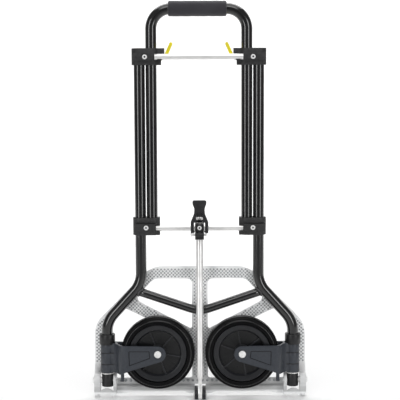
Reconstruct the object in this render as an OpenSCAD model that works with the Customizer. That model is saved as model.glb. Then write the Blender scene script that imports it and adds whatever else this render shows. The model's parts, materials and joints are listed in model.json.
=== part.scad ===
// Folding hand truck, shown folded: the handle is down, the toe plate is up
// against the frame and both wheels are turned inboard. X runs across the truck,
// +Y is the side on which the toe plate opens, and Z is up.

/* [Tubes] */
// Outer diameter of the frame and handle tubes
tube_d = 19; // [17:0.5:19]
// Wall thickness of the frame and handle tubes
tube_wall = 1.5; // [1:0.25:2.5]
// Distance between the centres of the frame tubes above the bend
frame_gauge = 202.2; // [202:0.2:206]
// Distance between the centres of the frame tubes at the feet
foot_gauge = 322; // [318:1:324]
// Distance between the centres of the handle legs
handle_gauge = 162.2; // [160:0.2:162.2]
// Diameter of the V-shaped brace
brace_d = 15; // [12:1:16]
// Diameter of the two straight crossbars
crossbar_d = 10; // [8:1:10]

/* [Handle] */
// Height of the middle of the handle's top bar
handle_top = 672.8; // [660:0.2:690]
// Bend radius of the handle at its tube centre
handle_bend = 34; // [30:1:40]
// Diameter of the foam grip
grip_d = 26.6; // [24:0.2:30]
// Length of the foam grip
grip_len = 99; // [80:1:105]
// Distance of the grip's middle to the left of the truck's middle
grip_shift = 2.5; // [0:0.5:4]

/* [Wheels] */
// Diameter of the wheels
wheel_d = 127; // [120:1:127]
// Width of the tyres
tyre_w = 26; // [22:1:26]
// Distance from the swing axis to the wheel axle
wheel_arm = 88.5; // [86:0.5:90]
// Radius of the wheel axle
axle_r = 5; // [4:0.5:6]
// Number of ribs on each side of a wheel
rib_count = 6; // [5:1:8]

/* [Toe plate] */
// Half the width of the toe plate
plate_half = 183.5; // [180:0.5:184]
// Height of the folded toe plate's top edge
plate_top = 232.3; // [225:0.1:240]
// Thickness of the toe plate
plate_t = 2; // [1.5:0.25:2]
// Radius of the toe plate's hinge bolts
hinge_r = 4; // [3:0.5:5]

/* [Hidden] */

$fn = 48;
e = 0.01;                        // overlap that makes a cut run clean through
run = 0.08;                      // radial running clearance
tr = tube_d / 2;
cr = crossbar_d / 2;
fx = frame_gauge / 2;            // frame tube centre above the bend
bx = foot_gauge / 2;             // frame tube centre at the foot, the swing axis
hx = handle_gauge / 2;           // handle leg centre

// Heights are measured from a base line, depths from the plane of the tubes.
base_z = 3.5;                    // height of the lowest point, the stay lugs
rear_depth = 42;                 // from the tube plane back to the latch lever
front_depth = 14;                // from the tube plane to the rivets' front heads
tube_y = (rear_depth - front_depth) / 2;

hinge_z = 33.6;                  // toe plate hinge
plate_y = 10;                    // load face of the folded toe plate
foot_z = 23.5;                   // bottom of the tube feet
washer_z = 46.2;                 // bottom of the cam washers
knuckle_z = 47.7;                // bottom of the wheel bracket's knuckle
collar_z = 97.9;                 // bottom of the fixed collars
collar_top = 115.4;
knuckle_r = 11.7;
collar_r = 13.5;
flat_y = 9.85;                   // flat on knuckle and collar, clear of the plate
wheel_z = hinge_z - plate_y - plate_t + wheel_d / 2;
wheel_y = -12;
wheel_x = bx - wheel_arm;

bend_turn = 42;                  // how far the frame tube leans between its bends
bend_top = 203.6;                // corners of the frame tube's centre line
drop = (bx - fx) / tan(bend_turn);
bend_low = bend_top - drop;
bend_r = 47;
frame_top = 604;

top_z = 592;                     // upper crossbar
top_y = -14;
low_z = 301.2;                   // lower crossbar
low_y = -6;
bar_half = 74.5;
top_low = 578.4;                 // top bracket
top_high = 606.7;
low_low = 289.4;                 // lower bracket
low_high = 309;
shoe_z = 309.5;                  // guide shoes
shoe_top = 319.2;
shell_r = 13;                    // outer radius of the brackets about a tube
boss_y = -16.5;                  // rear face of the brackets' raised band
rivet_x = (fx + hx) / 2;
rivet_z = 302.7;                 // rivets of the lower bracket
rivet_in = 3.6;                  // the rivets stop this far from the tube plane

lever_x = 65;                    // pivot of the release levers
lever_z = 590;

rod_y = -17.5;                   // stay rod
rod_r = 6;
rod_top = 321.5;
rod_flat = 6.4;                  // thickness of the rod's flattened foot
lug_z = 12;
lug_r = lug_z - base_z;
lug_in = 3.5;
lug_out = 9.6;
bolt_r = 3;

house_half = 7.5;                // latch housing
channel_half = 6.3;
channel_rear = -34.2;
house_rear = -36.4;
pin_y = -39.2;                   // pivot of the latch lever
pin_z = 293.6;
pin_r = 2;

// Moves a shape from the truck's own lines to the part's frame
module set_down() { translate([0, tube_y, -base_z]) children(); }
// Shapes are drawn for the right side; s = -1 mirrors them to the left
module side(s) { set_down() mirror([s < 0 ? 1 : 0, 0, 0]) children(); }
// Cylinders along X, Y or Z from a first to a second place
module bar_x(x0, x1, y, z, r) translate([x0, y, z]) rotate([0, 90, 0]) cylinder(h = x1 - x0, r = r);
module bar_y(y0, y1, x, z, r) translate([x, y0, z]) rotate([-90, 0, 0]) cylinder(h = y1 - y0, r = r);
module bar_z(z0, z1, x, y, r) translate([x, y, z0]) cylinder(h = z1 - z0, r = r);
// Box between two corners
module box(a, b) translate(a) cube(b - a);
// Extrudes an outline drawn in X and Z from y0 to y1
module slab(y0, y1) translate([0, y1, 0]) rotate([90, 0, 0]) linear_extrude(y1 - y0) children();
// Extrudes an outline drawn in Y and Z from x0 to x1
module rib(x0, x1) translate([x0, 0, 0]) rotate([90, 0, 90]) linear_extrude(x1 - x0) children();

function unit(v) = v / norm(v);
// Points of one rounded corner at p, between its neighbours a and b
function corner(a, p, b, r, n = 6) =
    let(u = unit(a - p), v = unit(b - p), h = acos(u * v) / 2,
        c = p + unit(u + v) * r / sin(h),
        s = p + u * r / tan(h) - c, t = p + v * r / tan(h) - c,
        a0 = atan2(s[1], s[0]), d = atan2(t[1], t[0]) - a0,
        turn = d > 180 ? d - 360 : d < -180 ? d + 360 : d)
    r == 0 ? [p] : [for (i = [0:n]) c + r * [cos(a0 + turn * i / n), sin(a0 + turn * i / n)]];
// Rounds the corners of an outline whose points are [x, y, corner radius]
function rounded(q) =
    let(m = len(q))
    [for (i = [0:m - 1])
        let(a = q[(i + m - 1) % m], p = q[i], b = q[(i + 1) % m])
        each corner([a[0], a[1]], [p[0], p[1]], [b[0], b[1]], p[2])];

// Round stretches that make up a bent tube; with no wall they are solid
module pipe(l, r, wall) difference() {
    cylinder(h = l, r = r);
    if (wall > 0) translate([0, 0, -e]) cylinder(h = l + 2 * e, r = r - wall);
}
// Bend in the X-Z plane about the origin, from angle start through angle turn
module elbow(start, turn, bend, r, wall) rotate([90, 0, 0]) rotate([0, 0, start])
    rotate_extrude(angle = turn) translate([bend, 0]) difference() {
        circle(r);
        if (wall > 0) circle(r - wall);
    }

// Turns its children about a bend's centre, which lies bend to the right (s = 1)
// or to the left (s = -1) of a tube that runs down through the origin
module past_bend(bend, turn, s) translate([s * bend, 0, 0]) rotate([0, -s * turn, 0])
    translate([-s * bend, 0, 0]) children();

// Frame tube: straight, bent outward, sloping, then straight down to the foot
module frame_path(wall) {
    cut = bend_r * tan(bend_turn / 2);
    slope = drop / cos(bend_turn) - 2 * cut;
    straight_low = bend_low - cut - 26;
    translate([fx, 0, bend_top + cut]) {
        pipe(frame_top - bend_top - cut, tr, wall);
        translate([bend_r, 0, 0]) elbow(180, bend_turn, bend_r, tr, wall);
        past_bend(bend_r, bend_turn, 1) {
            translate([0, 0, -slope]) {
                pipe(slope, tr, wall);
                translate([-bend_r, 0, 0]) elbow(-bend_turn, bend_turn, bend_r, tr, wall);
                past_bend(bend_r, bend_turn, -1)
                    translate([0, 0, -straight_low]) pipe(straight_low, tr, wall);
            }
        }
    }
}
module frame_tube(s) color("#17181a") side(s) difference() {
    union() frame_path(tube_wall);
    bar_x(bx - 2 * tr, bx + 2 * tr, 0, hinge_z, hinge_r + run);
}

// Brace: a short level stretch between two sloping arms, notched round the frame tubes
module v_brace() {
    r = brace_d / 2;
    lean = 18.7;
    level = 17;
    level_z = 160.3;
    notch_turn = 38;
    notch_x = fx + bend_r * (1 - cos(notch_turn));
    notch_z = bend_top + bend_r * (tan(bend_turn / 2) - sin(notch_turn));
    color("#17181a") set_down() {
        difference() {
            bar_x(-level, level, 0, level_z, r);
            bar_x(-level - e, level + e, 0, level_z, r - tube_wall);
        }
        for (s = [0, 1]) mirror([s, 0, 0]) difference() {
            translate([level, 0, level_z]) rotate([0, 90 - lean, 0]) translate([0, 0, -10])
                pipe(fx + 10, r, tube_wall);
            box([-40, -20, 100], [level + e, 20, 200]);
            translate([notch_x, 0, notch_z]) rotate([0, -notch_turn, 0])
                translate([0, 0, -60]) cylinder(h = 120, r = tr + 0.02);
            box([notch_x + 3, -20, 160], [200, 20, 300]);
        }
    }
}

module top_crossbar() color("#d4d6d8") set_down() difference() {
    bar_x(-bar_half, bar_half, top_y, top_z, cr);
    bar_x(-bar_half - e, bar_half + e, top_y, top_z, cr - 1.5);
}
module lower_crossbar() color("#d4d6d8") set_down() difference() {
    bar_x(-bar_half, bar_half, low_y, low_z, cr);
    bar_x(-bar_half - e, bar_half + e, low_y, low_z, cr - 1.5);
}

// Outline of a bracket seen from above: round about both tubes, with a tongue inboard
module bracket_plan(inner, tongue = 7) {
    translate([fx, 0]) circle(shell_r);
    translate([hx, 0]) circle(shell_r);
    translate([hx, -shell_r]) square([fx - hx, 2 * shell_r]);
    translate([inner, -tongue]) square([hx - inner, 2 * tongue]);
}
// Raised band on the rear of a bracket
module band(x0, x1, z0, z1) box([x0, boss_y, z0], [x1, -8, z1]);

module top_bracket(s, y0, y1) color("#26272a") side(s) difference() {
    union() {
        translate([0, 0, 596.5]) linear_extrude(top_high - 596.5) bracket_plan(58.4);
        translate([0, 0, 587]) linear_extrude(9.5) bracket_plan(60);
        translate([0, 0, top_low]) linear_extrude(587 - top_low) bracket_plan(64);
        band(75, 111, 586, 599);
        box([62, -18, 586.2], [70, -6, 588]);
    }
    box([0, y0 - 40, 500], [200, y0, 700]);
    box([0, y1, 500], [200, y1 + 40, 700]);
    bar_z(570, frame_top, fx, 0, tr);
    bar_z(570, 620, hx, 0, tr + run);
    bar_x(0, bar_half, top_y, top_z, cr);
    box([50, -4.4, 583], [69.6, 4.4, 599]);
    bar_y(-6.9, 6.9, lever_x, lever_z, 2);
    rivet_bores(top_z);
}

module lower_bracket(s, y0, y1) color("#26272a") side(s) difference() {
    union() {
        translate([0, 0, low_low]) linear_extrude(low_high - low_low) bracket_plan(67.9, 10);
        band(75.5, 111, 296.4, low_high);
    }
    box([0, y0 - 40, 200], [200, y0, 400]);
    box([0, y1, 200], [200, y1 + 40, 400]);
    bar_z(280, 320, fx, 0, tr);
    bar_x(0, bar_half, low_y, low_z, cr);
    box([60, -30, 296.2], [bar_half, low_y, 306.2]);
    rivet_bores(rivet_z);
}

// Tubular rivets in the rear and front of each bracket, short of the tubes' pinch
module rivet_bores(z) for (s = [-1, 1])
    bar_y(s < 0 ? -30 : rivet_in, s < 0 ? -rivet_in : 30, rivet_x, z, 1);
module rivet(x, z) {
    bar_y(boss_y, -rivet_in, x, z, 1);
    difference() {
        bar_y(boss_y - 1.2, boss_y, x, z, 4);
        bar_y(boss_y - 1.3, boss_y - 0.4, x, z, 1.6);
    }
    bar_y(rivet_in, shell_r, x, z, 1);
    bar_y(shell_r, front_depth, x, z, 3.4);
}
module bracket_rivets() color("#dcdee0") set_down() for (s = [-1, 1]) {
    rivet(s * rivet_x, top_z);
    rivet(s * rivet_x, rivet_z);
}

module lever_pins() color("#b8babd") set_down()
    for (s = [-1, 1]) bar_y(-6.9, 6.9, s * lever_x, lever_z, 2);

// Thumb lever with its hub in the bracket and its strip leaning towards the middle
module release_lever(s) color("#e8d91e") side(s) difference() {
    union() {
        bar_y(-4, 4, lever_x, lever_z, 4);
        slab(-4, 4) polygon([
            [lever_x - 1, lever_z - 3.6], [57, 590.5], [53.6, 592.5], [44.4, 613.6],
            [45, 616], [47.6, 617], [49.4, 615.9], [58, 596.8], [lever_x + 1, lever_z + 3.8]
        ]);
    }
    bar_y(-5, 5, lever_x, lever_z, 2 + run);
}

module handle_tube() {
    leg = handle_top - handle_bend - 311;
    color("#17181a") set_down() union() {
        for (s = [0, 1]) mirror([s, 0, 0]) {
            translate([hx, 0, 311]) pipe(leg, tr, tube_wall);
            translate([hx - handle_bend, 0, handle_top - handle_bend])
                elbow(0, 90, handle_bend, tr, tube_wall);
        }
        translate([handle_bend - hx, 0, handle_top]) rotate([0, 90, 0])
            pipe(2 * (hx - handle_bend), tr, tube_wall);
    }
}

module foam_grip() {
    x0 = -grip_shift - grip_len / 2;
    color("#303136") set_down() difference() {
        translate([x0, 0, handle_top]) rotate([0, 90, 0]) rotate_extrude() polygon(rounded([
            [0, 0, 0], [grip_d / 2, 0, 1.5], [grip_d / 2, grip_len, 1.5], [0, grip_len, 0]
        ]));
        bar_x(x0 - e, x0 + grip_len + e, 0, handle_top, tr);
        // The tube bends away inside the grip's ends
        for (s = [0, 1]) mirror([s, 0, 0])
            translate([hx - handle_bend, 0, handle_top - handle_bend]) elbow(0, 90, handle_bend, tr, 0);
    }
}

// Shoe on the foot of each handle leg, which slides on the frame tube
module guide_shoe(s) color("#26272a") side(s) difference() {
    translate([0, 0, shoe_z]) linear_extrude(shoe_top - shoe_z) bracket_plan(67.9, 10);
    bar_z(311, 330, hx, 0, tr);
    bar_z(300, 330, fx, 0, tr + 0.3);
}

// Housing on the lower crossbar, with a deep open channel for the stay rod
module latch_housing() color("#222326") set_down() difference() {
    union() {
        box([-house_half, house_rear, 284.9], [house_half, 0.5, 307.5]);
        box([-house_half, house_rear, 307], [house_half, -12, 314]);
        bar_x(-house_half, house_half, pin_y, pin_z, 3.6);
        box([-house_half, pin_y, pin_z - 3.6], [house_half, house_rear + e, pin_z + 3.6]);
    }
    box([-channel_half, channel_rear, 280], [channel_half, -10.6, 320]);
    box([-channel_half, house_rear - 1, 310.8], [channel_half, channel_rear + 1, 320]);
    bar_x(-10, 10, low_y, low_z, cr);
    bar_x(-10, 10, pin_y, pin_z, pin_r);
    bar_y(house_rear - 1, channel_rear + 1, 0, 304.9, 1.2);
    for (x = [-4.2, 4.2]) box([x - 0.7, house_rear - 5, 284], [x + 0.7, house_rear + 0.8, 303]);
}

module housing_rivet() color("#dcdee0") set_down() difference() {
    union() {
        bar_y(house_rear - 1.2, house_rear, 0, 304.9, 3.6);
        bar_y(house_rear - e, channel_rear - 0.2, 0, 304.9, 1.2);
    }
    bar_y(house_rear - 1.3, house_rear - 0.4, 0, 304.9, 1.5);
}

module latch_pin() color("#c4c6c9") set_down() {
    bar_x(-12.6, 11, pin_y, pin_z, pin_r);
    bar_x(-15.4, -12.4, pin_y, pin_z, 3);
    bar_x(10.8, 12.4, pin_y, pin_z, 2.8);
}

// Forked lever: a paddle above, a window in the middle and two legs on the pin
module latch_lever() {
    half = [
        [11.9, 352.1, 3], [11.6, 346, 5], [8.7, 338, 9], [9.2, 329.5, 9],
        [14.8, 315.5, 4], [14.8, 296.8, 1.5]
    ];
    rear = -rear_depth;
    color("#202124") set_down() difference() {
        union() {
            slab(rear, -37) polygon(rounded(concat(
                half, [for (i = [5:-1:0]) [-half[i][0], half[i][1], half[i][2]]])));
            for (s = [-1, 1]) {
                box([s < 0 ? -14.8 : 9.3, rear, 296.8], [s < 0 ? -9.3 : 14.8, -31, 313]);
                box([s < 0 ? -9.6 : 7.8, pin_y - 2.6, pin_z], [s < 0 ? -7.8 : 9.6, -37, 300]);
                bar_x(s < 0 ? -9.6 : 7.8, s < 0 ? -7.8 : 9.6, pin_y, pin_z, 2.8);
            }
        }
        box([-9.3, rear - 1, 290], [9.3, -36.9, 297.9]);
        box([-7.8, rear - 1, 290], [7.8, -30, 304]);
        box([-9.3, rear - 1, 300.5], [9.3, -30, 314.5]);
        box([-5.6, rear - 1, 304], [5.6, -30, 324]);
        box([-4.7, rear - 1, 325.6], [4.7, rear + 1.2, 329.8]);
        bar_x(-20, 20, pin_y, pin_z, pin_r + run);
    }
}

// Rod from the latch to the toe plate's lugs; its foot is pressed flat for the bolt
module stay_rod() color("#dcdee0") set_down() difference() {
    union() {
        bar_z(46, rod_top, 0, rod_y, rod_r);
        hull() {
            translate([0, rod_y, 46]) cylinder(h = 0.2, r = rod_r, $fn = 32);
            box([-rod_flat / 2, rod_y - 6.6, 37.8], [rod_flat / 2, rod_y + 6.6, 38]);
        }
        box([-rod_flat / 2, rod_y - 6.6, lug_z], [rod_flat / 2, rod_y + 6.6, 38]);
        bar_x(-rod_flat / 2, rod_flat / 2, rod_y, lug_z, lug_r - 0.3);
    }
    bar_x(-10, 10, rod_y, lug_z, bolt_r + run);
    difference() {
        bar_z(312.8, 317, 0, rod_y, rod_r + 1);
        bar_z(312, 318, 0, rod_y, rod_r - 1.2);
    }
}
module rod_ring() color("#1b1c1e") set_down() difference() {
    bar_z(312.8, 317, 0, rod_y, rod_r - 0.1);
    bar_z(312, 318, 0, rod_y, rod_r - 1.2);
}

module stay_lugs() color("#202124") set_down() difference() {
    for (s = [0, 1]) mirror([s, 0, 0]) {
        bar_x(lug_in, lug_out, rod_y, lug_z, lug_r);
        box([lug_in, rod_y, base_z], [lug_out, plate_y, lug_z + lug_r]);
    }
    bar_x(-20, 20, rod_y, lug_z, bolt_r);
}
module lug_bolt() color("#c4c6c9") set_down() {
    bar_x(-lug_out, lug_out + 2, rod_y, lug_z, bolt_r);
    bar_x(-lug_out - 2.4, -lug_out, rod_y, lug_z, 5);
    translate([lug_out, rod_y, lug_z]) rotate([0, 90, 0]) cylinder(h = 3, r = 5.4, $fn = 6);
}

// Right half of the openings in the toe plate
module plate_windows() {
    polygon(rounded([
        [13.7, 210.3, 9], [79.4, 210.3, 18], [113.9, 174.7, 9], [13.7, 121.2, 3]
    ]));
    polygon(rounded([
        [13.7, 34.5, 4], [145.3, 34.5, 2], [145.3, 46, 0], [152, 52, 4],
        [152, 136, 12], [131, 158.9, 8], [13.7, 101.5, 3]
    ]));
}
// Arch between the ears, below the tube foot
function arch(z, sense) =
    [for (i = [0:8]) [150.6 - 2 * e + (23 + 4 * e) * (sense > 0 ? i : 8 - i) / 8,
                      z + 4.5 * sin(180 * (sense > 0 ? i : 8 - i) / 8)]];
module lip_outline() polygon([
    [lug_out - e, 17.5], [18, 17.5], [28, 20.4], [121, 20.4], [131, 17.5], [145.4, 17.5],
    [145.4, 8.5], [131, 8.5], [121, 11.8], [28, 11.8], [18, 8.5], [lug_out - e, 8.5]
]);
module plate_half() {
    back = plate_y + plate_t;
    difference() {
        slab(plate_y, back) difference() {
            polygon(rounded([
                [-e, plate_top, 0], [84, plate_top, 48], [plate_half, 130.6, 45],
                [plate_half, 23.2, 0], [-e, 23.2, 0]
            ]));
            plate_windows();
            translate([150.6, 0]) square([23, 46]);
        }
        bar_x(140, 190, 0, hinge_z, hinge_r);
    }
    slab(3.5, 6) lip_outline();
    rib(lug_out - e, 145.4) polygon([
        [3.5, 19.6], [3.5, 17], [6, 17], [back, 21.2], [back, 25], [plate_y, 25], [plate_y, 23.4]
    ]);
    // Inner and outer ears carry the hinge bolt
    difference() {
        union() {
            bar_x(145.3, 150.6, 0, hinge_z, 12);
            rib(145.3, 150.6) polygon([[-10, 9.5], [back, 9.5], [back, 45.5], [0, 45.5], [-10, 36]]);
            bar_x(173.6, plate_half + 0.5, 0, hinge_z, 12);
            rib(173.6, plate_half + 0.5) polygon([
                [-10, 11], [-3.2, 9.8], [-3, 6.7], [back, 6.7], [back, 60], [plate_y, 60],
                [6, 45], [0, 45.5], [-10, 36]
            ]);
            slab(-10, -7) polygon(concat(arch(7.2, 1), arch(16, -1)));
        }
        bar_x(140, 190, 0, hinge_z, hinge_r);
    }
}
module toe_plate() color("#c3c8cb") set_down() {
    for (s = [0, 1]) mirror([s, 0, 0]) plate_half();
}
module hinge_bolt(s) color("#c4c6c9") side(s) {
    bar_x(144.2, plate_half + 0.5, 0, hinge_z, hinge_r);
    bar_x(171.3, 173.6, 0, hinge_z, 5.6);
    translate([plate_half + 0.5, 0, hinge_z]) rotate([0, 90, 0]) rotate_extrude() polygon(rounded([
        [0, 0, 0], [6.4, 0, 0], [6.4, 2.8, 2.6], [0, 2.8, 0]
    ]));
}

module collar(s) color("#1c1d1f") side(s) difference() {
    bar_z(collar_z, collar_top, bx, 0, collar_r);
    bar_z(collar_z - 1, collar_top + 1, bx, 0, tr);
    box([bx - 20, flat_y, 90], [bx + 20, 20, 120]);
}
// Washer with a wavy lower edge, a detent for the wheel bracket
module cam_washer(s) color("#d0d2d4") side(s) difference() {
    bar_z(washer_z, knuckle_z, bx, 0, 11.4);
    bar_z(washer_z - 1, knuckle_z + 1, bx, 0, tr);
    box([bx - 20, flat_y, 40], [bx + 20, 20, 50]);
    for (i = [0:5]) translate([bx, 0, washer_z]) rotate([0, 90, 60 * i + 15])
        translate([0, 0, 9.2]) cylinder(h = 4, r = 0.8);
}
module tube_foot(s) color("#141517") side(s) difference() {
    bar_z(foot_z, washer_z, bx, 0, 10.2);
    bar_z(26, washer_z + 1, bx, 0, tr);
    box([bx - 20, flat_y, foot_z - 1], [bx + 20, 20, washer_z + 1]);
    bar_x(bx - 20, bx + 20, 0, hinge_z, hinge_r + run);
}

// Side view of one fork plate, with the axle at the far end
module fork_outline() {
    eye_r = 13.8;
    translate([wheel_arm, wheel_z + 0.4]) circle(eye_r);
    polygon([
        [22, 50], [27, 51.4], [41, 56.6], [wheel_arm + 4.4, wheel_z + 0.4 - 13.1],
        [wheel_arm, wheel_z + 0.4], [wheel_arm, wheel_z + 0.4 + eye_r], [22, 100.4]
    ]);
}
module panel_outline() polygon([[38.5, 91], [74, 91], [75.5, 78.5], [39, 65.2]]);
// Plan of the curved web between the knuckle and the fork plates
module web_plan() polygon([
    [6, -9.5], [11.5, -11], [15, -13.5], [18, -17.5], [20.5, -22.5], [23, -27], [26, -29.3],
    [30, -30], [30, -26.5], [26.8, -26.2], [23.6, -21.5], [20, -13.5], [17.6, -7], [17, -2],
    [18.4, 0.8], [22, 2], [30, 2], [30, 5.5], [22, 6], [14, 7.6], [6, flat_y - 0.4]
]);
module wheel_bracket(s) color("#3d434b") side(s) translate([bx, 0, 0]) mirror([1, 0, 0]) difference() {
    union() {
        bar_z(knuckle_z + 0.1, collar_z - 0.1, 0, 0, knuckle_r);
        difference() {
            translate([0, 0, 50]) linear_extrude(50.4) web_plan();
            bar_z(collar_z - 0.1, 110, 0, 0, collar_r + 0.5);
        }
        slab(-30, -26.5) difference() {
            fork_outline();
            square([27, 200]);
        }
        slab(2, 5.5) difference() {
            fork_outline();
            square([27, 200]);
        }
        // Peg under the bracket, pushed by the toe plate as it opens
        bar_z(37, 54, 27.2, -22, 3);
        box([24, -27.5, 50], [30.2, -19, 54]);
    }
    bar_z(0, 200, 0, 0, tr + run);
    box([-20, flat_y, 40], [20, 20, 120]);
    slab(-31, -29) panel_outline();
    for (z = [63.4, 83.4]) difference() {
        bar_z(z - 0.3, z + 0.3, 0, 0, knuckle_r + 4);
        bar_z(z - 1, z + 1, 0, 0, knuckle_r - 0.5);
    }
    bar_y(-40, 20, wheel_arm, wheel_z + 0.4, axle_r);
}
module axle(s) color("#e4e6e8") side(s) {
    z = wheel_z + 0.4;
    bar_y(-30, 5.5, wheel_x, z, axle_r);
    translate([wheel_x, -30, z]) rotate([90, 0, 0]) rotate_extrude() polygon(rounded([
        [0, 0, 0], [6.2, 0, 0], [6.2, 2.4, 2], [0, 2.4, 0]
    ]));
    bar_y(5.5, 8.2, wheel_x, z, 6.4);
}

// Everything on a wheel is turned about its axle
module about_axle(s) side(s) translate([wheel_x, wheel_y, wheel_z + 0.4]) rotate([90, 0, 0]) children();
module wheel_bush(s) color("#8a8d91") about_axle(s) difference() {
    translate([0, 0, -13.7]) cylinder(h = 27.4, r = 8);
    translate([0, 0, -15]) cylinder(h = 30, r = axle_r + run);
}
module wheel_rim(s, phase) color("#1d1e20") about_axle(s) union() {
    rotate_extrude() polygon([
        [8, -13], [13, -13], [14.5, -6], [14.5, -4], [38, -4], [40.5, -9], [49, -10.5], [50, -9],
        [50, 9], [49, 10.5], [40.5, 9], [38, 4], [14.5, 4], [14.5, 6], [13, 13], [8, 13]
    ]);
    for (i = [0:rib_count - 1]) rotate([0, 0, phase + 360 * i / rib_count])
        translate([13, -1, -6.4]) cube([26.5, 2, 12.8]);
}
module tyre(s) color("#121315") about_axle(s) rotate_extrude() {
    R = wheel_d / 2;
    w = tyre_w / 2;
    polygon(rounded([
        [50, -w + 2, 1], [54.5, -w, 1], [57, -w + 0.8, 1], [R, -w + 2.5, 6],
        [R, w - 2.5, 6], [57, w - 0.8, 1], [54.5, w, 1], [50, w - 2, 1]
    ]));
}

frame_tube(-1);  // frame_tube_left
frame_tube(1);  // frame_tube_right
v_brace();
top_crossbar();
lower_crossbar();
top_bracket(-1, -30, 0);  // top_bracket_rear_left
top_bracket(1, -30, 0);  // top_bracket_rear_right
top_bracket(-1, 0, 30);  // top_bracket_front_left
top_bracket(1, 0, 30);  // top_bracket_front_right
lower_bracket(-1, -30, 0);  // lower_bracket_rear_left
lower_bracket(1, -30, 0);  // lower_bracket_rear_right
lower_bracket(-1, 0, 30);  // lower_bracket_front_left
lower_bracket(1, 0, 30);  // lower_bracket_front_right
bracket_rivets();
lever_pins();
release_lever(-1);  // release_lever_left
release_lever(1);  // release_lever_right
handle_tube();
foam_grip();
guide_shoe(-1);  // guide_shoe_left
guide_shoe(1);  // guide_shoe_right
latch_housing();
housing_rivet();
latch_pin();
latch_lever();
stay_rod();
rod_ring();
stay_lugs();
lug_bolt();
toe_plate();
hinge_bolt(-1);  // hinge_bolt_left
hinge_bolt(1);  // hinge_bolt_right
collar(-1);  // collar_left
collar(1);  // collar_right
cam_washer(-1);  // cam_washer_left
cam_washer(1);  // cam_washer_right
tube_foot(-1);  // tube_foot_left
tube_foot(1);  // tube_foot_right
wheel_bracket(-1);  // wheel_bracket_left
wheel_bracket(1);  // wheel_bracket_right
axle(-1);  // axle_left
axle(1);  // axle_right
wheel_bush(-1);  // wheel_bush_left
wheel_bush(1);  // wheel_bush_right
wheel_rim(-1, 10);  // wheel_rim_left
wheel_rim(1, 40);  // wheel_rim_right
tyre(-1);  // tyre_left
tyre(1);  // tyre_right
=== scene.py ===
"""Looks of the folding hand truck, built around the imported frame."""
import json
import math
import random

import bmesh
import bpy
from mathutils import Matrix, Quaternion, Vector
from mathutils.bvhtree import BVHTree


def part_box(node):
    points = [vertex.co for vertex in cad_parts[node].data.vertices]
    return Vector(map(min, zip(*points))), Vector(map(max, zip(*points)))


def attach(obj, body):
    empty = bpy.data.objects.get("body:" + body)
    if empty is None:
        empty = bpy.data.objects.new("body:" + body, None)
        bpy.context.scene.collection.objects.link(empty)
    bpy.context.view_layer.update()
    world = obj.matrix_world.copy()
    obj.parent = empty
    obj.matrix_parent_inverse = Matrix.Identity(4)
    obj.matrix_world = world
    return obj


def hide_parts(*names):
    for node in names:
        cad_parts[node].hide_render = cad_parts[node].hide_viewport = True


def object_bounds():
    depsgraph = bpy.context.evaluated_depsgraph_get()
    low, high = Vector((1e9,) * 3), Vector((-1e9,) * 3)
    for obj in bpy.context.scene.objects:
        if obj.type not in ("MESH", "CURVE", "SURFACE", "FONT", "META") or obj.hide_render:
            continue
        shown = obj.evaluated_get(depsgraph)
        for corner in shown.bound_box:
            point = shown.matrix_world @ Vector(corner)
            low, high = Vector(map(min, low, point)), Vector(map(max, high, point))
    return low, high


MM = 0.001
SIDES = (("left", -1), ("right", 1))

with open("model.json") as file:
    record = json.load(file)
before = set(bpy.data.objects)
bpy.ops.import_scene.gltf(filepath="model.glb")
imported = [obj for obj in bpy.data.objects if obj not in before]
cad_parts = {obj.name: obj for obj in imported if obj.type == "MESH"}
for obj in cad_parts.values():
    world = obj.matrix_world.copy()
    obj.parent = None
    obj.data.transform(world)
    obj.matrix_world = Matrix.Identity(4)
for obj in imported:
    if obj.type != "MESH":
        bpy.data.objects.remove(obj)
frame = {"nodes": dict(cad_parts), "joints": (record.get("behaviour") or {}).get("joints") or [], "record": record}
nodes = frame["nodes"]
joints = {j["name"]: j for j in frame["joints"]}
cad_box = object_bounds()

def node_middle(name):
    """Middle of a CAD node's box."""
    low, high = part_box(name)
    return (low + high) / 2


# ---- Camera: looks a little down on the truck's rear from 1.9 m ---------------------
CAMERA_DISTANCE = 1.9
CAMERA_PITCH = math.radians(6.0)
CAMERA_ROLL = math.radians(-0.22)
CAMERA_LENS = 99.7
LOOK_AT = Vector((0.001, node_middle("handle_tube").y,
                  0.5 * (cad_box[1][2] - cad_box[0][2]) + 0.0037))


def make_camera():
    """Long lens behind the truck, aimed at the middle of its folded height."""
    data = bpy.data.cameras.new("camera")
    data.lens = CAMERA_LENS
    data.sensor_width = 36
    camera = bpy.data.objects.new("camera", data)
    bpy.context.scene.collection.objects.link(camera)
    back = Vector((0, -math.cos(CAMERA_PITCH), math.sin(CAMERA_PITCH)))
    camera.location = LOOK_AT + CAMERA_DISTANCE * back
    look = (LOOK_AT - camera.location).to_track_quat("-Z", "Y")
    camera.rotation_mode = "QUATERNION"
    camera.rotation_quaternion = look @ Quaternion((0, 0, 1), CAMERA_ROLL)
    bpy.context.scene.camera = camera


make_camera()


# ---- Materials ---------------------------------------------------------------------
MOST_SHADE = 3.0


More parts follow.
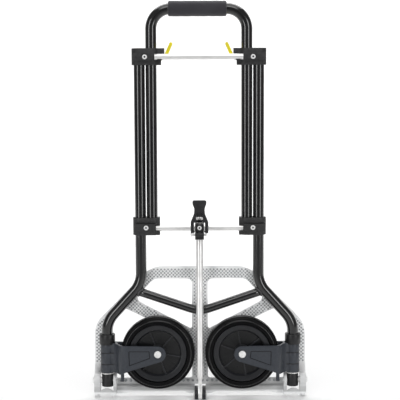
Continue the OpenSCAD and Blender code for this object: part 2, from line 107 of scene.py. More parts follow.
class Shader:
    """A principled material with helpers for procedural variation in object space."""

    def __init__(self, name, color, roughness, metallic=0.0, coat=0.0, specular=0.5):
        self.material = bpy.data.materials.new(name)
        self.material.use_nodes = True
        self.tree = self.material.node_tree
        self.bsdf = self.tree.nodes["Principled BSDF"]
        self.color = color
        self.roughness = roughness
        self.bsdf.inputs["Base Color"].default_value = (*color, 1)
        self.bsdf.inputs["Roughness"].default_value = roughness
        self.bsdf.inputs["Metallic"].default_value = metallic
        self.bsdf.inputs["Coat Weight"].default_value = coat
        self.bsdf.inputs["Coat Roughness"].default_value = 0.08
        self.bsdf.inputs["Specular IOR Level"].default_value = specular
        self.material.diffuse_color = (*color, 1)
        coords = self.tree.nodes.new("ShaderNodeTexCoord")
        self.place = self.tree.nodes.new("ShaderNodeMapping")
        self.link(coords.outputs["Object"], self.place.inputs["Vector"])
        self.normal = None

    def link(self, a, b):
        self.tree.links.new(a, b)

    def noise(self, scale, detail=4.0, stretch=(1, 1, 1)):
        """Fractal noise from 0 to 1; a small stretch draws it out along that axis."""
        place = self.tree.nodes.new("ShaderNodeMapping")
        place.inputs["Scale"].default_value = stretch
        self.link(self.place.outputs["Vector"], place.inputs["Vector"])
        noise = self.tree.nodes.new("ShaderNodeTexNoise")
        noise.inputs["Scale"].default_value = scale
        noise.inputs["Detail"].default_value = detail
        self.link(place.outputs["Vector"], noise.inputs["Vector"])
        return noise.outputs["Fac"]

    def cells(self, scale):
        """Distance to the nearest of scattered points, for grain."""
        cells = self.tree.nodes.new("ShaderNodeTexVoronoi")
        cells.inputs["Scale"].default_value = scale
        self.link(self.place.outputs["Vector"], cells.inputs["Vector"])
        return cells.outputs["Distance"]

    def axis(self, name):
        """One coordinate of the shaded point, in the row frame at rest."""
        split = self.tree.nodes.new("ShaderNodeSeparateXYZ")
        self.link(self.place.outputs["Vector"], split.inputs["Vector"])
        return split.outputs[name]

    def math(self, operation, a, b=0.0):
        """One math node; a and b are sockets or numbers."""
        node = self.tree.nodes.new("ShaderNodeMath")
        node.operation = operation
        for socket, value in zip(node.inputs, (a, b)):
            if isinstance(value, (int, float)):
                socket.default_value = value
            else:
                self.link(value, socket)
        return node.outputs["Value"]

    def shade(self, fac, stops):
        """Multiplies the colour by grey stops, given as (place along fac, factor up to 3)."""
        ramp = self.tree.nodes.new("ShaderNodeFloatCurve")
        curve = ramp.mapping.curves[0]
        curve.points[0].location = (0.0, stops[0][1] / MOST_SHADE)
        curve.points[1].location = (1.0, stops[-1][1] / MOST_SHADE)
        for place, factor in stops:
            curve.points.new(place, factor / MOST_SHADE)
        for point in curve.points:
            point.handle_type = "VECTOR"
        ramp.mapping.update()
        self.link(fac, ramp.inputs["Value"])
        mix = self.tree.nodes.new("ShaderNodeVectorMath")
        mix.operation = "SCALE"
        socket = self.bsdf.inputs["Base Color"]
        self.link(socket.links[0].from_socket, mix.inputs[0])
        scale = self.math("MULTIPLY", ramp.outputs["Value"], MOST_SHADE)
        self.link(scale, mix.inputs["Scale"])
        self.link(mix.outputs["Vector"], socket)
        return self

    def between(self, fac, low, high):
        """Maps 0 to 1 onto low to high."""
        span = self.tree.nodes.new("ShaderNodeMapRange")
        span.inputs["To Min"].default_value = low
        span.inputs["To Max"].default_value = high
        self.link(fac, span.inputs["Value"])
        return span.outputs["Result"]

    def vary_color(self, fac, dark, light):
        """Runs the base colour from dark to light times its own value along fac."""
        ramp = self.tree.nodes.new("ShaderNodeValToRGB")
        ramp.color_ramp.elements[0].position = 0.3
        ramp.color_ramp.elements[1].position = 0.7
        ramp.color_ramp.elements[0].color = (*[c * dark for c in self.color], 1)
        ramp.color_ramp.elements[1].color = (*[min(1, c * light) for c in self.color], 1)
        self.link(fac, ramp.inputs["Fac"])
        self.link(ramp.outputs["Color"], self.bsdf.inputs["Base Color"])
        return self

    def vary_roughness(self, fac, spread):
        """Runs the roughness by spread either side of its own value along fac."""
        low, high = self.roughness - spread, self.roughness + spread
        self.link(self.between(fac, low, high), self.bsdf.inputs["Roughness"])
        return self

    def bump(self, fac, height, strength=1.0):
        """Adds relief of the given height in metres on top of any relief there is."""
        bump = self.tree.nodes.new("ShaderNodeBump")
        bump.inputs["Strength"].default_value = strength
        bump.inputs["Distance"].default_value = height
        self.link(fac, bump.inputs["Height"])
        if self.normal is not None:
            self.link(self.normal, bump.inputs["Normal"])
        self.normal = bump.outputs["Normal"]
        self.link(self.normal, self.bsdf.inputs["Normal"])
        return self


def black_paint():
    s = Shader("black_paint", (0.004, 0.004, 0.0045), 0.16, coat=0.8)
    s.vary_color(s.noise(30), 0.8, 1.3).vary_roughness(s.noise(90), 0.03)
    return s.bump(s.noise(900, 2), 0.000002, 0.15).material


def bright_steel():
    s = Shader("bright_steel", (0.95, 0.945, 0.935), 0.34, metallic=0.55)
    s.vary_color(s.noise(60), 0.93, 1.04)
    s.vary_roughness(s.noise(500, 3, (1, 1, 0.03)), 0.06)
    return s.bump(s.noise(1500, 2, (1, 1, 0.02)), 0.000008, 0.4).material


def rivet_steel():
    s = Shader("rivet_steel", (0.96, 0.96, 0.95), 0.3, metallic=0.2)
    s.vary_color(s.noise(400), 0.85, 1.1).vary_roughness(s.noise(700), 0.08)
    return s.bump(s.noise(1200, 3), 0.00002, 0.5).material


def bush_steel():
    s = Shader("bush_steel", (0.9, 0.9, 0.9), 0.35, metallic=0.5)
    s.vary_color(s.noise(300), 0.8, 1.15).vary_roughness(s.noise(500), 0.08)
    return s.bump(s.noise(900, 2, (1, 0.1, 1)), 0.00002, 0.5).material


def grained_plastic(name, color, roughness, grain, height, mottle=0.25):
    s = Shader(name, color, roughness, specular=0.4)
    s.vary_color(s.noise(260, 3), 1 - mottle, 1 + mottle).vary_roughness(s.noise(200), 0.07)
    s.bump(s.cells(grain), height, 0.7)
    return s.bump(s.noise(grain * 1.7, 3), height * 0.6, 0.6).material


def yellow_plastic():
    s = Shader("yellow_plastic", (0.86, 0.74, 0.02), 0.36)
    s.vary_color(s.noise(120), 0.93, 1.06).vary_roughness(s.noise(300), 0.05)
    return s.bump(s.noise(1400, 2), 0.00003, 0.4).material


def grip_foam():
    s = Shader("grip_foam", (0.03, 0.029, 0.035), 0.82, specular=0.25)
    s.bsdf.inputs["Sheen Weight"].default_value = 0.25
    s.bsdf.inputs["Sheen Roughness"].default_value = 0.6
    s.vary_color(s.noise(25), 0.85, 1.2)
    s.bump(s.cells(1400), 0.00012, 0.8)
    return s.bump(s.noise(320, 5), 0.00012, 0.6).material


def plate_aluminium():
    """Cast plate, with painted shade darkening the lip and the hinge ears at its bottom."""
    s = Shader("plate_aluminium", (0.95, 0.965, 0.975), 0.36, metallic=0.08)
    s.vary_color(s.noise(28), 0.9, 1.06).vary_roughness(s.noise(120), 0.07)
    height = s.math("MULTIPLY", s.math("SUBTRACT", s.axis("Z"), cad_box[0][2]), 10.0)
    # Painted shade: darker from about 10 mm to 70 mm above the truck's bottom, over the lip and the hinge ears.
    s.shade(height, ((0.09, 1.0), (0.12, 0.55), (0.19, 0.6), (0.22, 0.75), (0.38, 0.7), (0.7, 1.0)))
    return s.bump(s.noise(1600, 4), 0.00005, 0.6).material


BARREL_JOINTS = (0.0264, 0.0464)  # heights of the knuckle's joints above its bottom
BARREL_WIDTH = 0.0236


def slate_plastic():
    """Dark grey moulding, with painted shade darkening the joints between the knuckle's barrels."""
    s = Shader("slate_plastic", (0.038, 0.043, 0.053), 0.42, specular=0.4)
    s.vary_color(s.noise(260, 3), 0.9, 1.1).vary_roughness(s.noise(200), 0.07)
    low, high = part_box("wheel_bracket_right")
    lower_gap, upper_gap = (
        s.math("ABSOLUTE", s.math("SUBTRACT", s.axis("Z"), low.z + rise))
        for rise in BARREL_JOINTS
    )
    joint_gap = s.math("MINIMUM", lower_gap, upper_gap)
    inboard = s.math("SUBTRACT", high.x - BARREL_WIDTH, s.math("ABSOLUTE", s.axis("X")))
    away = s.math("MAXIMUM", s.math("MULTIPLY", joint_gap, 200.0),
                  s.math("MULTIPLY", inboard, 400.0))
    # Painted shade: a dark band about a millimetre either side of each joint between the barrels, on the knuckle
    # only.
    s.shade(s.math("MINIMUM", away, 1.0), ((0.1, 0.25), (0.25, 1.0), (0.6, 1.0)))
    s.bump(s.cells(1600), 0.00005, 0.7)
    return s.bump(s.noise(2700, 3), 0.00003, 0.6).material


RIM_DEPTH = 0.016


def rim_plastic():
    """Painted shade deep in the recess between the ribs, where the light doesn't reach, and painted light, up to
    2.2 times the colour, on the faces further out from the wheel's middle.
    """
    s = Shader("rim_plastic", (0.010, 0.0105, 0.012), 0.3, specular=0.35)
    s.vary_color(s.noise(45), 0.85, 1.2).vary_roughness(s.noise(200), 0.06)
    depth = s.math("ABSOLUTE", s.math("SUBTRACT", s.axis("Y"), node_middle("tyre_left").y))
    # Painted shade near the wheel's middle plane, painted light further out towards the rim's faces.
    s.shade(s.math("MULTIPLY", depth, 1 / RIM_DEPTH),
            ((0.26, 0.45), (0.36, 2.2), (0.48, 1.3), (0.6, 1.5), (0.7, 1.5)))
    return s.bump(s.noise(2500, 3), 0.00002, 0.6).material


def tyre_rubber():
    s = Shader("tyre_rubber", (0.002, 0.002, 0.0024), 0.34, specular=0.12)
    s.vary_color(s.noise(60), 0.8, 1.35).vary_roughness(s.noise(150), 0.08)
    return s.bump(s.noise(1300, 3), 0.00004, 0.6).material


def weld_steel():
    """Painted weld, lumpier than the tubes it joins."""
    s = Shader("weld_steel", (0.035, 0.035, 0.037), 0.3, coat=0.4)
    s.vary_color(s.noise(500), 0.6, 1.8).vary_roughness(s.noise(700), 0.1)
    return s.bump(s.noise(700, 4), 0.0004, 0.8).material


def dot_shade_aluminium():
    """Darker aluminium for the tread's dots: painted shade standing in for the shadows round the raised dots."""
    s = Shader("dot_shade_aluminium", (0.37, 0.385, 0.395), 0.4, metallic=0.4)
    s.vary_color(s.noise(300), 0.7, 1.3)
    return s.bump(s.noise(1600, 4), 0.00004, 0.6).material


def deep_shade():
    """The inside of a hole, where hardly any light comes out."""
    s = Shader("deep_shade", (0.012, 0.012, 0.012), 0.7, specular=0.1)
    return s.vary_color(s.noise(900), 0.6, 1.4).material


def pale_plastic():
    s = Shader("pale_plastic", (0.34, 0.34, 0.35), 0.4)
    return s.vary_color(s.noise(800), 0.8, 1.2).material


def polished_rubber():
    s = Shader("polished_rubber", (0.005, 0.005, 0.0055), 0.24, coat=0.45, specular=0.4)
    return s.vary_roughness(s.noise(120), 0.06).material


MATERIALS = {
    "black_paint": black_paint(),
    "bright_steel": bright_steel(),
    "rivet_steel": rivet_steel(),
    "bush_steel": bush_steel(),
    "bracket_plastic": grained_plastic(
        "bracket_plastic", (0.028, 0.028, 0.029), 0.48, grain=1500, height=0.00009),
    "latch_plastic": grained_plastic(
        "latch_plastic", (0.017, 0.017, 0.019), 0.42, grain=1800, height=0.00005),
    "collar_plastic": grained_plastic(
        "collar_plastic", (0.013, 0.013, 0.014), 0.36, grain=1800, height=0.00004),
    "slate_plastic": slate_plastic(),
    "rim_plastic": rim_plastic(),
    "yellow_plastic": yellow_plastic(),
    "grip_foam": grip_foam(),
    "plate_aluminium": plate_aluminium(),
    "tyre_rubber": tyre_rubber(),
}

# Finishes and painted shade of single pieces, within their slot
WELD = weld_steel()
PAINTED_DOT_SHADE = dot_shade_aluminium()
HOLLOW = deep_shade()
PALE = pale_plastic()
POLISHED = polished_rubber()

# ---- CAD nodes: material, welded seams and softened edges --------------------------
# Width of the rounding along sharp edges, in millimetres
EDGE_WIDTH = {
    "bracket_plastic": 0.7, "latch_plastic": 0.6, "slate_plastic": 0.9, "collar_plastic": 0.8,
    "plate_aluminium": 0.5, "rim_plastic": 0.4, "yellow_plastic": 0.7, "rivet_steel": 0.25,
    "bright_steel": 0.2, "bush_steel": 0.2, "black_paint": 0.2, "grip_foam": 0.4,
    "tyre_rubber": 0.3,
}

# Plain tubes keep the exact normals they come with in model.glb.
ROUND_BARS = ("frame_tube_left", "frame_tube_right", "handle_tube", "top_crossbar",
              "lower_crossbar")


def dress(piece, slot):
    """Gives a CAD node its slot's material."""
    piece.data.materials.clear()
    piece.data.materials.append(MATERIALS[slot])


def soften(piece, width):
    """Joins split vertices, then rounds the sharp edges a little so that they catch light."""
    for polygon in piece.data.polygons:
        polygon.use_smooth = True
    weld = piece.modifiers.new("weld", "WELD")
    weld.merge_threshold = 0.000005
    bevel = piece.modifiers.new("bevel", "BEVEL")
    bevel.width = width * MM
    bevel.segments = 2
    bevel.limit_method = "ANGLE"
    bevel.angle_limit = math.radians(34)
    bevel.use_clamp_overlap = True
    bevel.harden_normals = True


for part in frame["record"]["subparts"]:
    node, slot = nodes[part["node"]], part["material_slot"]
    dress(node, slot)
    if part["node"] not in ROUND_BARS:
        soften(node, EDGE_WIDTH[slot])


# ---- Mesh helpers ------------------------------------------------------------------
def new_piece(name, mesh, slot, body, material=None):
    """A smooth-shaded piece that rides on a body; material overrides the slot's look."""
    piece = bpy.data.objects.new(name, mesh)
    bpy.context.scene.collection.objects.link(piece)
    for polygon in mesh.polygons:
        polygon.use_smooth = True
    mesh.materials.append(material or MATERIALS[slot])
    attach(piece, body)
    return piece


def node_tree(name):
    """Search tree over a CAD node's faces."""
    mesh = nodes[name].data
    return BVHTree.FromPolygons([v.co for v in mesh.vertices],
                                [tuple(p.vertices) for p in mesh.polygons])


def mesh_from(name, vertices, faces):
    mesh = bpy.data.meshes.new(name)
    mesh.from_pydata(vertices, [], faces)
    mesh.validate()
    return mesh


def lathe(name, profile, centre, turns=128, closed=True):
    """Turns a profile of (radius, place along Y) about an axle that runs along Y."""
    vertices = [
        (centre.x + r * math.cos(a), centre.y + y, centre.z + r * math.sin(a))
        for a in (2 * math.pi * t / turns for t in range(turns)) for r, y in profile
    ]
    n = len(profile)
    last = n if closed else n - 1
    faces = [
        (t * n + i, t * n + (i + 1) % n, (t + 1) % turns * n + (i + 1) % n, (t + 1) % turns * n + i)
        for t in range(turns) for i in range(last)
    ]
    return mesh_from(name, vertices, faces)


def arc(cx, cy, r, start, end, steps=6):
    """Points of an arc, in degrees."""
    return [
        (cx + r * math.cos(math.radians(start + (end - start) * i / steps)),
         cy + r * math.sin(math.radians(start + (end - start) * i / steps)))
        for i in range(steps + 1)
    ]


# ---- Tyres: smooth tread, shoulder step and a bead against the rim ------------------
def make_tyre(side):
    """Solid tyre: bead, stepped side wall, round shoulder and a groove beside the tread."""
    low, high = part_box(f"tyre_{side}")
    centre = (low + high) / 2
    radius = (high.z - low.z) / 2
    half = (high.y - low.y) / 2
    right = (
        [(0.0500, half - 0.0026), (0.0504, half - 0.0018)]
        + arc(0.0520, half - 0.0014, 0.0013, 165, 80)
        + [(0.0542, half), (0.0560, half - 0.0002)]
        + arc(0.0567, half - 0.0012, 0.0009, 95, 50, 4)
        + [(0.0582, half - 0.0020), (0.0588, half - 0.0022)]
        + arc(radius - 0.0058, half - 0.0082, 0.0058, 80, 6, 10)
        + [(radius, half - 0.0095), (radius - 0.0007, half - 0.0100),
           (radius - 0.0007, half - 0.0104), (radius, half - 0.0109), (radius, 0.0)]
    )
    profile = right + [(r, -y) for r, y in reversed(right[:-1])]
    mesh = lathe(f"tyre_{side}_skin", profile, centre)
    piece = new_piece(f"tyre_skin_{side}", mesh, "tyre_rubber", f"wheel_{side}")
    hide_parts(f"tyre_{side}")


def make_ridge(side):
    """Polished ridge where the tyre's side wall turns into its shoulder, front and rear."""
    low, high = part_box(f"tyre_{side}")
    centre = (low + high) / 2
    half = (high.y - low.y) / 2
    for face, sense in (("rear", -1), ("front", 1)):
        profile = [(r, sense * (half - 0.0014 + y)) for r, y in arc(0.0567, 0.0, 0.0013, 175, 5, 8)]
        mesh = lathe(f"tyre_ridge_{face}_{side}", profile, centre, closed=False)
        new_piece(f"tyre_ridge_{face}_{side}", mesh, "tyre_rubber", f"wheel_{side}", POLISHED)


# ---- Foam grip: soft sleeve with rounded, slightly pinched ends ----------------------
GRIP_BORE = 0.0091
GRIP_ROLL = 0.0024  # radius of the rounding at the sleeve's ends


def make_grip():
    """Foam sleeve whose surface swells and sinks by a few hundredths of a millimetre."""
    low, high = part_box("foam_grip")
    centre = (low + high) / 2
    radius = (high.z - low.z) / 2
    half = (high.x - low.x) / 2
    bore, roll = GRIP_BORE, GRIP_ROLL
    rings, turns = 72, 72
    rng = random.Random(4)
    phases = [rng.uniform(0, 6.28) for _ in range(6)]
    profile = [(-half + 0.0002, bore)]
    for i in range(rings + 1):
        u = -1 + 2 * i / rings
        edge = half * (1 - abs(u))
        drop = roll - math.sqrt(max(0.0, roll ** 2 - max(0.0, roll - edge) ** 2))
        profile.append((u * half, radius - drop))
    profile.append((half - 0.0002, bore))
    vertices = []
    for x, r in profile:
        for t in range(turns):
            a = 2 * math.pi * t / turns
            soft = sum(math.sin(phases[k] + (k + 2) * a + x * (120 + 70 * k)) for k in range(6))
            rr = r - 0.0003 - 0.00004 * soft if r > bore else r
            vertices.append((centre.x + x, centre.y + rr * math.sin(a),
                             centre.z + rr * math.cos(a)))
    n = len(profile)
    faces = [
        (i * turns + t, i * turns + (t + 1) % turns, (i + 1) % n * turns + (t + 1) % turns,
         (i + 1) % n * turns + t)
        for i in range(n) for t in range(turns)
    ]
    piece = new_piece("foam_grip_sleeve", mesh_from("foam_grip_sleeve", vertices, faces),
                      "grip_foam", "handle")
    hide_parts("foam_grip")


# ---- Swept tubes and welds -----------------------------------------------------------
def sweep(name, path, radii, turns=24, closed=False):
    """Tube along a path, its radius given at each point."""
    count = len(path)
    vertices, faces = [], []
    side = None
    for i, point in enumerate(path):
        before = path[i - 1] if i or closed else point
        after = path[(i + 1) % count] if i < count - 1 or closed else point
        ahead = (after - before).normalized()
        side = ahead.orthogonal() if side is None else side - side.dot(ahead) * ahead
        side.normalize()
        up = ahead.cross(side)
        for t in range(turns):
            a = 2 * math.pi * t / turns
            vertices.append(tuple(point + radii[i] * (math.cos(a) * side + math.sin(a) * up)))
    for i in range(count if closed else count - 1):
        shift = 0
        if i == count - 1:
            first = [Vector(v) for v in vertices[:turns]]
            last = Vector(vertices[i * turns])
            shift = min(range(turns), key=lambda t: (first[t] - last).length)
        for t in range(turns):
            a, b = i * turns + t, i * turns + (t + 1) % turns
            c = (i + 1) % count * turns + (t + 1 + shift) % turns
            d = (i + 1) % count * turns + (t + shift) % turns
            faces.append((a, b, c, d))
    if not closed:
        faces.append(tuple(range(turns))[::-1])
        faces.append(tuple(range((count - 1) * turns, count * turns)))
    return mesh_from(name, vertices, faces)


BRACE_LEAN = math.radians(18.7)
BRACE_BEND = 0.055  # radius of the bend at the V's bottom
BRACE_SINK = 0.0026  # how far the bend lies below the CAD node's sharp corner
BEAD_STEPS = 72


def make_brace():
    """The V brace as one smoothly bent tube, welded between the frame tubes."""
    low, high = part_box("v_brace")
    radius = (high.y - low.y) / 2
    middle_y = (high.y + low.y) / 2
    bottom = low.z + radius - BRACE_SINK
    arc_centre = bottom + BRACE_BEND
    reach = BRACE_BEND * math.sin(BRACE_LEAN)
    rise = arc_centre - BRACE_BEND * math.cos(BRACE_LEAN)
    end = high.x - 0.002
    right = [Vector((BRACE_BEND * math.sin(BRACE_LEAN * i / 10), middle_y,
                     arc_centre - BRACE_BEND * math.cos(BRACE_LEAN * i / 10))) for i in range(11)]
    right += [Vector((x, middle_y, rise + (x - reach) * math.tan(BRACE_LEAN)))
              for x in (reach + (end - reach) * i / 8 for i in range(1, 9))]
    path = [Vector((-p.x, p.y, p.z)) for p in reversed(right[1:])] + right
    mesh = sweep("brace_tube", path, [radius] * len(path), 40)
    piece = new_piece("brace_tube", mesh, "black_paint", "frame")
    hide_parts("v_brace")
    for side, sign in SIDES:
        make_weld(side, sign, right[-1], radius)


def make_weld(side, sign, end, radius):
    """Rippled bead where an arm of the brace meets the frame tube."""
    tree = node_tree(f"frame_tube_{side}")
    ahead = Vector((sign * math.cos(BRACE_LEAN), 0, math.sin(BRACE_LEAN)))
    across = Vector((0, 1, 0))
    up = ahead.cross(across)
    start = Vector((sign * end.x, end.y, end.z)) - 0.04 * ahead
    rng = random.Random(11 + sign)
    path, radii = [], []
    for i in range(BEAD_STEPS):
        a = 2 * math.pi * i / BEAD_STEPS
        origin = start + (radius - 0.0004) * (math.cos(a) * across + math.sin(a) * up)
        hit = tree.ray_cast(origin, ahead, 0.08)[0]
        if hit is None:
            hit = path[-1] if path else origin + 0.035 * ahead
        path.append(hit - 0.0008 * ahead)
        radii.append(0.00165 + 0.00035 * abs(math.sin(9 * a)) + rng.uniform(-0.0001, 0.0001))
    mesh = sweep(f"weld_{side}", path, radii, 10, closed=True)
    new_piece(f"weld_bead_{side}", mesh, "black_paint", "frame", WELD)


# Corners of the sunk panel: distance from the swing axis, height above the bracket's bottom
PANEL = ((0.0391, 0.0534), (0.0735, 0.0534), (0.0749, 0.0418), (0.0396, 0.0288))
PANEL_DEPTH = 0.00095


def make_panel_line(side):
    """Dark line of painted shade round the sunk panel of a wheel bracket, where the panel's edge drops to its
    floor.
    """
    low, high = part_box(f"wheel_bracket_{side}")
    swing = Vector(joints[f"wheel_swing_{side}"]["pos_m"]).x
    sign = 1 if swing > 0 else -1
    floor_y = low.y + PANEL_DEPTH
    corners = [(swing - sign * x, low.z + z) for x, z in PANEL]
    path = []
    for i, (x, z) in enumerate(corners):
        after = corners[(i + 1) % 4]
        path += [Vector((x + (after[0] - x) * k, floor_y, z + (after[1] - z) * k))
                 for k in (0.02, 0.06, 0.3, 0.6, 0.94, 0.98)]
    mesh = sweep(f"panel_line_{side}", path, [0.0005] * len(path), 8, closed=True)
    new_piece(f"panel_line_{side}", mesh, "slate_plastic", f"bracket_{side}", HOLLOW)


def make_latch_frame():
    """Light moulded frame round the small recess in the latch lever's paddle."""
    low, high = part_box("latch_lever")
    middle_x = (low.x + high.x) / 2
    middle_z = high.z - 0.0243
    half_x, half_z, line, step = 0.0054, 0.0036, 0.0008, 0.0003
    rows = []
    for inset, y in ((0.0, low.y + step), (0.15 * line, low.y),
                     (0.85 * line, low.y), (line, low.y + step)):
        w, h, r = half_x - inset, half_z - inset, 0.0008
        rows.append([(middle_x + sx * (w - r) + r * math.cos(a), y,
                      middle_z + sz * (h - r) + r * math.sin(a))
                     for sx, sz, start in ((1, 1, 0), (-1, 1, 90), (-1, -1, 180), (1, -1, 270))
                     for a in (math.radians(start + 30 * k) for k in range(4))])
    n = len(rows[0])
    vertices = [v for row in rows for v in row]
    faces = [(r * n + i, r * n + (i + 1) % n, (r + 1) * n + (i + 1) % n, (r + 1) * n + i)
             for r in range(3) for i in range(n)]
    new_piece("latch_frame", mesh_from("latch_frame", vertices, faces), "latch_plastic",
              "latch_lever", PALE)


# ---- Rivet centres: painted shade in the hollow of each tubular rivet ----------------
def hollow(name, centre, radius, body, slot):
    """A dark dish of painted shade, hollow side to the rear."""
    rings = 5
    vertices = [(centre.x, centre.y, centre.z)]
    for ring in range(1, rings + 1):
        r = radius * ring / rings
        for t in range(24):
            a = 2 * math.pi * t / 24
            vertices.append((centre.x + r * math.cos(a), centre.y - 0.00035 * (ring / rings) ** 3,
                             centre.z + r * math.sin(a)))
    faces = [(0, 1 + (t + 1) % 24, 1 + t) for t in range(24)]
    for ring in range(rings - 1):
        a = 1 + ring * 24
        faces += [(a + t, a + (t + 1) % 24, a + 24 + (t + 1) % 24, a + 24 + t) for t in range(24)]
    new_piece(name, mesh_from(name, vertices, faces), slot, body, HOLLOW)


HEAD_RADIUS = 0.004
HOLLOW_DEPTH = 0.0007


def make_hollows():
    """One dark dish of painted shade in each visible rivet head."""
    low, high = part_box("bracket_rivets")
    for side, x in (("left", low.x + HEAD_RADIUS), ("right", high.x - HEAD_RADIUS)):
        for level, z in (("low", low.z + HEAD_RADIUS), ("top", high.z - HEAD_RADIUS)):
            hollow(f"rivet_hollow_{level}_{side}", Vector((x, low.y + HOLLOW_DEPTH, z)), 0.00155,
                   "frame", "rivet_steel")
    low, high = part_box("housing_rivet")
    middle = (low + high) / 2
    hollow("rivet_hollow_housing", Vector((middle.x, low.y + HOLLOW_DEPTH, middle.z)), 0.00145,
           "frame", "rivet_steel")


# ---- Toe plate tread: staggered raised dots wherever the plate's face is solid -------
DOT_PITCH = 0.0061
DOT_RADIUS = 0.0017
DOT_HEIGHT = 0.00045
DOT_CLEARANCE = 0.0008
BAR_DOT_PITCH = 0.0084
BAR_DOT_RADIUS = 0.0026
BAR_RISE = 0.0231


def solid_round(tree, x, z, radius, start_y, face_y):
    """True where the load face continues all round a dot."""
    reach = radius * 1.6
    for k in range(8):
        a = math.pi * k / 4
        origin = Vector((x + reach * math.cos(a), start_y, z + reach * math.sin(a)))
        hit = tree.ray_cast(origin, Vector((0, 1, 0)), 0.05)
        if hit[0] is None or abs(hit[0].y - face_y) > 0.0002:
            return False
    return True


def tread_places(low, high):
    """Staggered small dots, and one row of larger ones along the bottom bar."""
    bar_z = low.z + BAR_RISE
    rows = int((high.z - low.z) / (DOT_PITCH / 2))
    columns = int(high.x / DOT_PITCH) + 1
    for row in range(rows):
        z = low.z + row * DOT_PITCH / 2
        if z > bar_z + 0.005:
            for column in range(-columns, columns + 1):
                yield (column + 0.5 * (row % 2)) * DOT_PITCH, z, DOT_RADIUS
    for column in range(-columns, columns + 1):
        yield (column + 0.5) * BAR_DOT_PITCH, bar_z, BAR_DOT_RADIUS


def make_tread():
    """Dots that leave out the plate's holes and the pads where the knuckles rest."""
    tree = node_tree("toe_plate")
    resting = [node_tree(f"{name}_{side}") for side, _ in SIDES
               for name in ("collar", "wheel_bracket", "tube_foot", "cam_washer")]
    low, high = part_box("toe_plate")
    face_y = min(v.co.y for v in nodes["toe_plate"].data.vertices if v.co.z > high.z - 0.01)
    vertices, faces = [], []
    for x, z, radius in tread_places(low, high):
        if not solid_round(tree, x, z, radius, face_y - 0.0015, face_y):
            continue
        middle = Vector((x, face_y, z))
        if any(piece.find_nearest(middle)[3] < radius + DOT_CLEARANCE for piece in resting):
            continue
        base = len(vertices)
        for ring, (r, h) in enumerate(((1.0, -0.1), (0.82, 0.62), (0.45, 0.95))):
            for k in range(8):
                a = math.pi * (k / 4 + ring / 8)
                vertices.append((x + r * radius * math.cos(a), face_y - h * DOT_HEIGHT,
                                 z + r * radius * math.sin(a)))
        vertices.append((x, face_y - DOT_HEIGHT, z))
        for ring in (0, 8):
            for k in range(8):
                a, b = base + ring + k, base + ring + (k + 1) % 8
                faces.append((a, b, b + 8, a + 8))
        faces += [(base + 16 + k, base + 16 + (k + 1) % 8, base + 24) for k in range(8)]
        faces.append(tuple(base + 7 - k for k in range(8)))
    # The dots take the darker aluminium, painted shade for the shadows round them.
    new_piece("toe_plate_tread", mesh_from("toe_plate_tread", vertices, faces),
              "plate_aluminium", "toe_plate", PAINTED_DOT_SHADE)


for side_name, _ in SIDES:
    make_tyre(side_name)
    make_ridge(side_name)
    make_panel_line(side_name)
make_grip()
make_brace()
make_hollows()
make_latch_frame()
make_tread()

# ---- Floor, backdrop and light -------------------------------------------------------
def stage_paper():
    """White paper, with painted shade making it greyer in front of the truck than behind it."""
    s = Shader("stage_paper", (0.93, 0.93, 0.93), 0.75, specular=0.1)
    s.vary_color(s.noise(3), 0.995, 1.0).vary_roughness(s.noise(4), 0.03)
    ahead = s.math("MULTIPLY", s.math("ADD", s.axis("Y"), 4.0), 0.25)
    # Painted shade: from about 1 m in front of the truck the floor is painted at about a third of its brightness,
    # rising to full just in front of it.
    return s.shade(ahead, ((0.74, 0.35), (0.965, 0.9), (0.985, 1.0))).material


STAGE_REACH = 14.0
STAGE_CURVE_START = 2.2
STAGE_CURVE = 1.5
STAGE_HEIGHT = 6.0


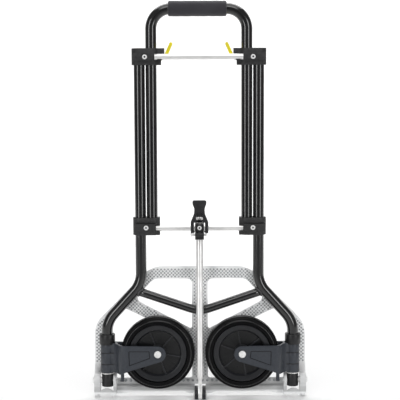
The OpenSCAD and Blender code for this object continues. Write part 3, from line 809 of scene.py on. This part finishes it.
def make_stage():
    """One sheet: a floor that curves up into a backdrop behind the truck."""
    floor_z = cad_box[0][2]
    points = [(-STAGE_REACH, 0.0), (STAGE_CURVE_START, 0.0)]
    points += [(STAGE_CURVE_START + STAGE_CURVE * math.sin(math.radians(a)),
                STAGE_CURVE - STAGE_CURVE * math.cos(math.radians(a)))
               for a in range(10, 91, 10)]
    points.append((STAGE_CURVE_START + STAGE_CURVE, STAGE_HEIGHT))
    vertices = [(x, y, floor_z + z) for y, z in points for x in (-STAGE_REACH, STAGE_REACH)]
    faces = [(2 * i, 2 * i + 1, 2 * i + 3, 2 * i + 2) for i in range(len(points) - 1)]
    mesh = mesh_from("stage", vertices, faces)
    for polygon in mesh.polygons:
        polygon.use_smooth = True
    mesh.materials.append(stage_paper())
    stage = bpy.data.objects.new("stage", mesh)
    bpy.context.scene.collection.objects.link(stage)


WORLD_STRENGTH = 0.2
# Name, place, aimed at, size and power in watts of each softbox
LIGHTS = (
    ("left_box", (-1.45, -1.8, 0.6), (0, 0, 0.3), (0.6, 1.5), 13),
    ("right_box", (1.45, -1.8, 0.6), (0, 0, 0.3), (0.6, 1.5), 13),
    ("key_box", (0, -2.2, 2.7), (0, 0, 0.3), (2.2, 1.0), 22),
    ("top_box", (0, -0.6, 2.6), (0, 0.1, 0.3), (2.4, 1.2), 12),
    ("floor_box", (0, 1.5, 3.2), (0, 1.0, 0), (4.0, 1.6), 70),
    ("back_box", (0, 1.9, 2.6), (0, 3.7, 0.9), (4.0, 1.0), 45),
)


def area_light(name, place, target, size, power):
    """A rectangular softbox turned towards its target."""
    data = bpy.data.lights.new(name, "AREA")
    data.shape = "RECTANGLE"
    data.size, data.size_y = size
    data.energy = power
    light = bpy.data.objects.new(name, data)
    bpy.context.scene.collection.objects.link(light)
    light.location = place
    light.rotation_mode = "QUATERNION"
    light.rotation_quaternion = (Vector(target) - Vector(place)).to_track_quat("-Z", "Y")


def make_light():
    """Side boxes draw the tubes' highlights; the last two light the floor and backdrop."""
    world = bpy.data.worlds.new("studio")
    world.use_nodes = True
    background = world.node_tree.nodes["Background"]
    background.inputs["Color"].default_value = (1, 1, 1, 1)
    background.inputs["Strength"].default_value = WORLD_STRENGTH
    bpy.context.scene.world = world
    bpy.context.scene.view_settings.view_transform = "Standard"
    for light in LIGHTS:
        area_light(*light)


make_stage()
make_light()
